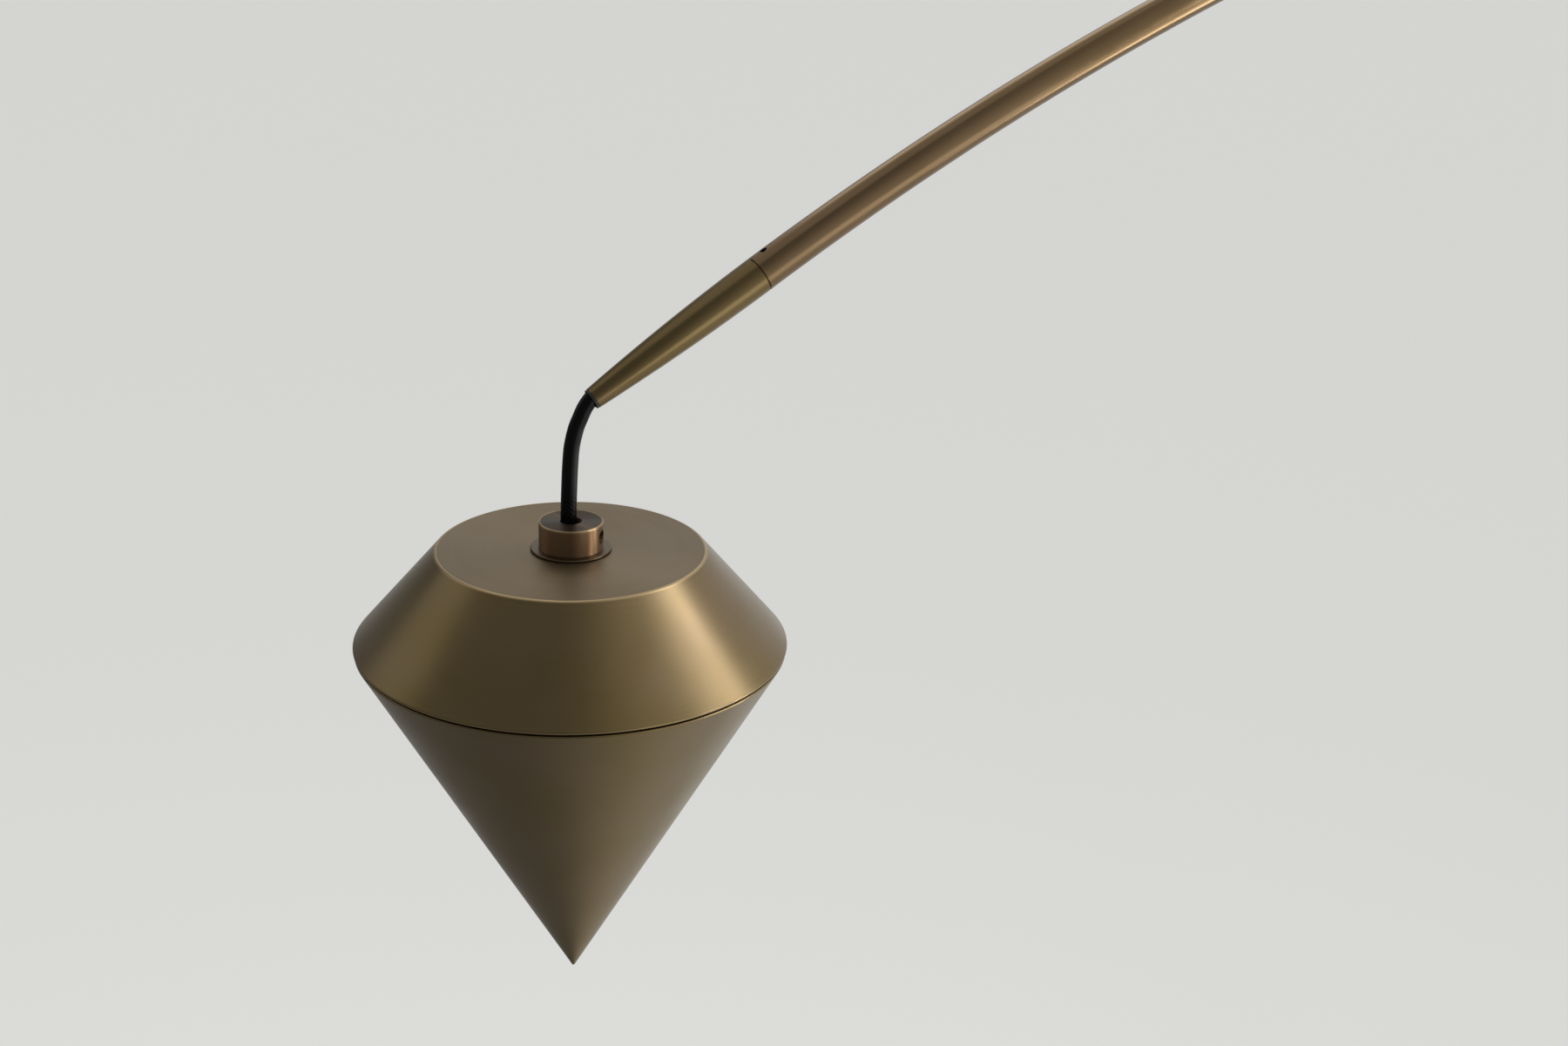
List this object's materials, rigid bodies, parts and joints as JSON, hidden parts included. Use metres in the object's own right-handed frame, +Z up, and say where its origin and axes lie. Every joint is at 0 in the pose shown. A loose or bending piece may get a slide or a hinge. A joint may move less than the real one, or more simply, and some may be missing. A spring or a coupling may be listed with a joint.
{
  "type": "arc floor lamp",
  "caption": "Tall brass arc floor lamp: a heavy round base and stem hold a swivelling bent tube arm, and a pointed double-cone head hangs from its nose on a short textile cord.",
  "frame": {"origin": "middle of the base's underside, on the floor and on the stem's axis", "axes": "+Z up along the stem, -X towards the hanging head, +X towards the mains cable's gland"},
  "size_m": [1.7077, 0.38, 2.0573],
  "materials": {
    "brass": "aged brass, brushed by turning and lacquered satin",
    "pale_brass": "aged brass, a little paler and greener than the rest, satin",
    "steel": "zinc-plated steel",
    "black_steel": "blackened steel",
    "aluminium": "sheet aluminium",
    "iron": "grey cast iron, rough",
    "textile": "black textile braid with fine pale flecks over a rubber cord",
    "black_plastic": "black moulded plastic",
    "cable": "black cable sheath",
    "white_plastic": "white to opal plastic",
    "rubber": "black rubber"
  },
  "bodies": {
    "stand": {"stem_tube": "brass", "clamp_collar": "brass", "stem_grub_screws": "steel", "stop_bush": "black_plastic", "stem_socket": "black_plastic", "stem_cable": "cable", "stem_foot": "brass", "foot_washer": "steel", "foot_nut": "steel", "base_weight": "iron", "base_cover": "brass", "bottom_plate": "steel", "bottom_screws": "steel", "floor_pad": "rubber", "mains_gland": "black_plastic", "gland_nut": "black_plastic", "led_driver": "white_plastic", "driver_screws": "steel", "mains_terminal": "white_plastic", "terminal_screws": "steel", "base_leads": "cable", "switch_case": "black_plastic", "switch_ring": "brass", "switch_spring": "steel"},
    "arm": {"nose_cone": "pale_brass", "nose_bush": "black_plastic", "front_tube": "brass", "middle_tube": "brass", "rear_tube": "brass", "front_sleeve": "brass", "rear_sleeve": "brass", "tube_set_screws": "black_steel", "arm_cable": "cable", "arm_plug": "black_plastic"},
    "flex": {"pendant_flex": "textile"},
    "head": {"upper_shade": "brass", "lower_cone": "brass", "collar_washer": "brass", "cord_collar": "brass", "cord_screw": "steel", "cord_screw_tip": "black_plastic", "head_nipple": "steel", "nipple_nut": "steel", "wire_yoke": "steel", "heat_plate": "aluminium", "led_board": "aluminium", "led_chips": "white_plastic", "opal_ring": "white_plastic", "plate_spacer": "steel", "cone_plate": "aluminium", "cone_rod": "steel", "head_terminal": "white_plastic", "head_leads": "cable"},
    "foot_button": {"foot_button": "brass"},
    "clamp_pad": {"clamp_pad": "black_plastic"},
    "thumb_screw": {"thumb_screw": "brass"}
  },
  "joints": [
    {"name": "arm_swivel", "type": "hinge", "parent": "stand", "child": "arm", "pos_m": [0, 0, 1], "axis": [0, 0, 1], "range_deg": [-165, 165]},
    {"name": "head_swing", "type": "hinge", "parent": "arm", "child": "flex", "pos_m": [-1.4127, 0, 1.77389], "axis": [0, 1, 0], "range_deg": [-25, 25], "deforming": ["pendant_flex"]},
    {"name": "head_tilt", "type": "hinge", "parent": "flex", "child": "head", "pos_m": [-1.4127, 0, 1.73189], "axis": [1, 0, 0], "range_deg": [-15, 15], "deforming": ["pendant_flex"]},
    {"name": "pad_slide", "type": "slide", "parent": "stand", "child": "clamp_pad", "axis": [1, 0, 0], "range_m": [0, 0.0015]},
    {"name": "thumb_turn", "type": "hinge", "parent": "clamp_pad", "child": "thumb_screw", "pos_m": [0.008, 0, 1.007], "axis": [1, 0, 0], "range_deg": [0, 540]},
    {"name": "foot_press", "type": "slide", "parent": "stand", "child": "foot_button", "axis": [0, 0, -1], "range_m": [0, 0.003], "stiffness_N_per_m": 800, "springref_m": -0.003, "deforming": ["switch_spring"]}
  ],
  "couplings": [
    {"joint": "thumb_turn", "follows": "pad_slide", "rad_per_m": 6283.2}
  ]
}
